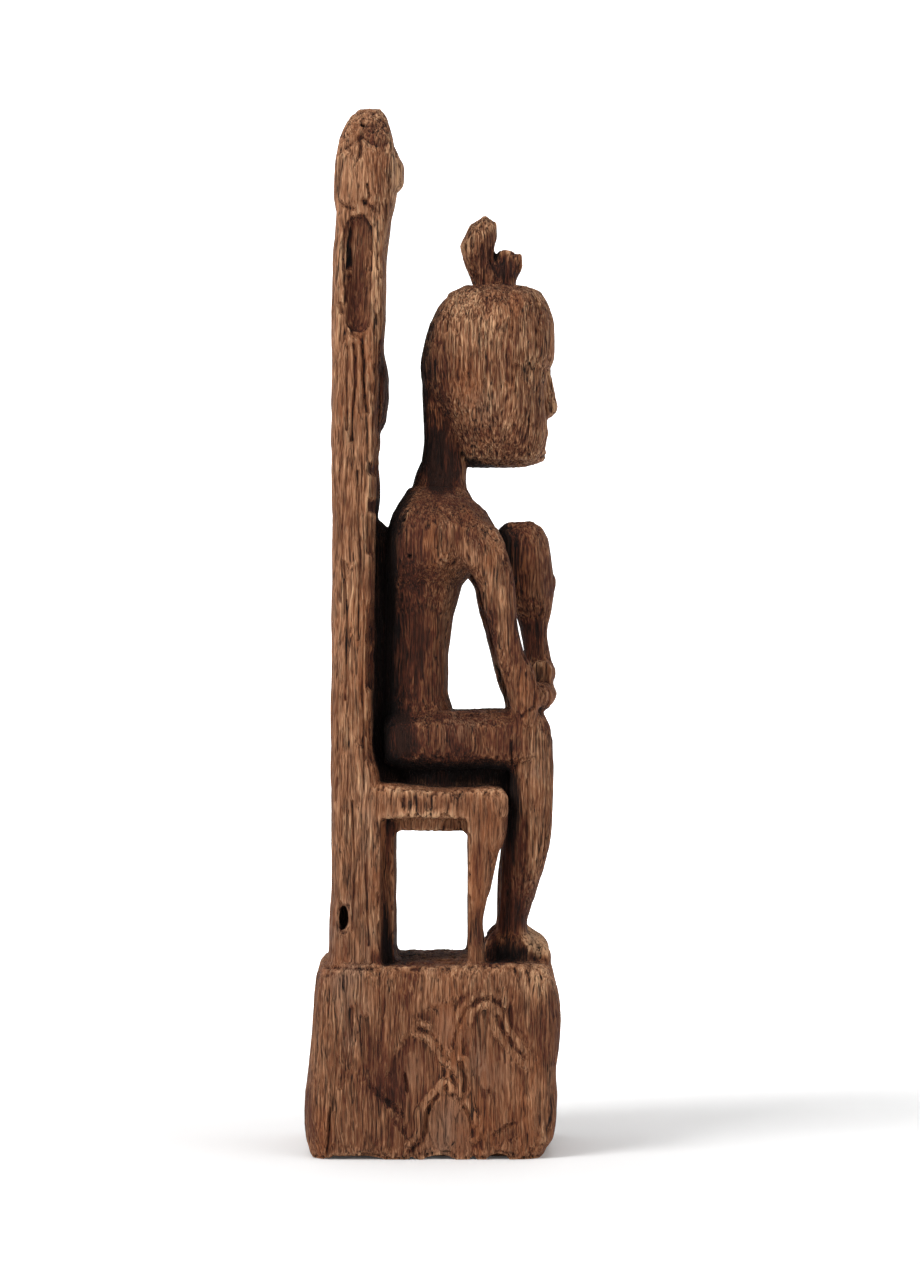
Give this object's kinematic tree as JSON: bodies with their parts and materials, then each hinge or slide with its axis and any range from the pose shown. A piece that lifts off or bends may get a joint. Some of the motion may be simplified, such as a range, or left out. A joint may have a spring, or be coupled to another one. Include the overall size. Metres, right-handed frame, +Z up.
{
  "type": "ancestor figure",
  "caption": "Weathered carved wooden figure seated on a high-backed chair, arms folded round a small head, on a block plinth.",
  "frame": {"origin": "centre of the plinth's underside", "axes": "+Z up along the wood's grain, +X the way the figure faces, -Y the figure's right side"},
  "size_m": [0.1025, 0.086, 0.4201],
  "materials": {
    "weathered_wood": "dry weathered brown hardwood, fibrous vertical grain, darker in the recesses"
  },
  "bodies": {
    "root": {"ancestor_figure": "weathered_wood"}
  },
  "joints": []
}
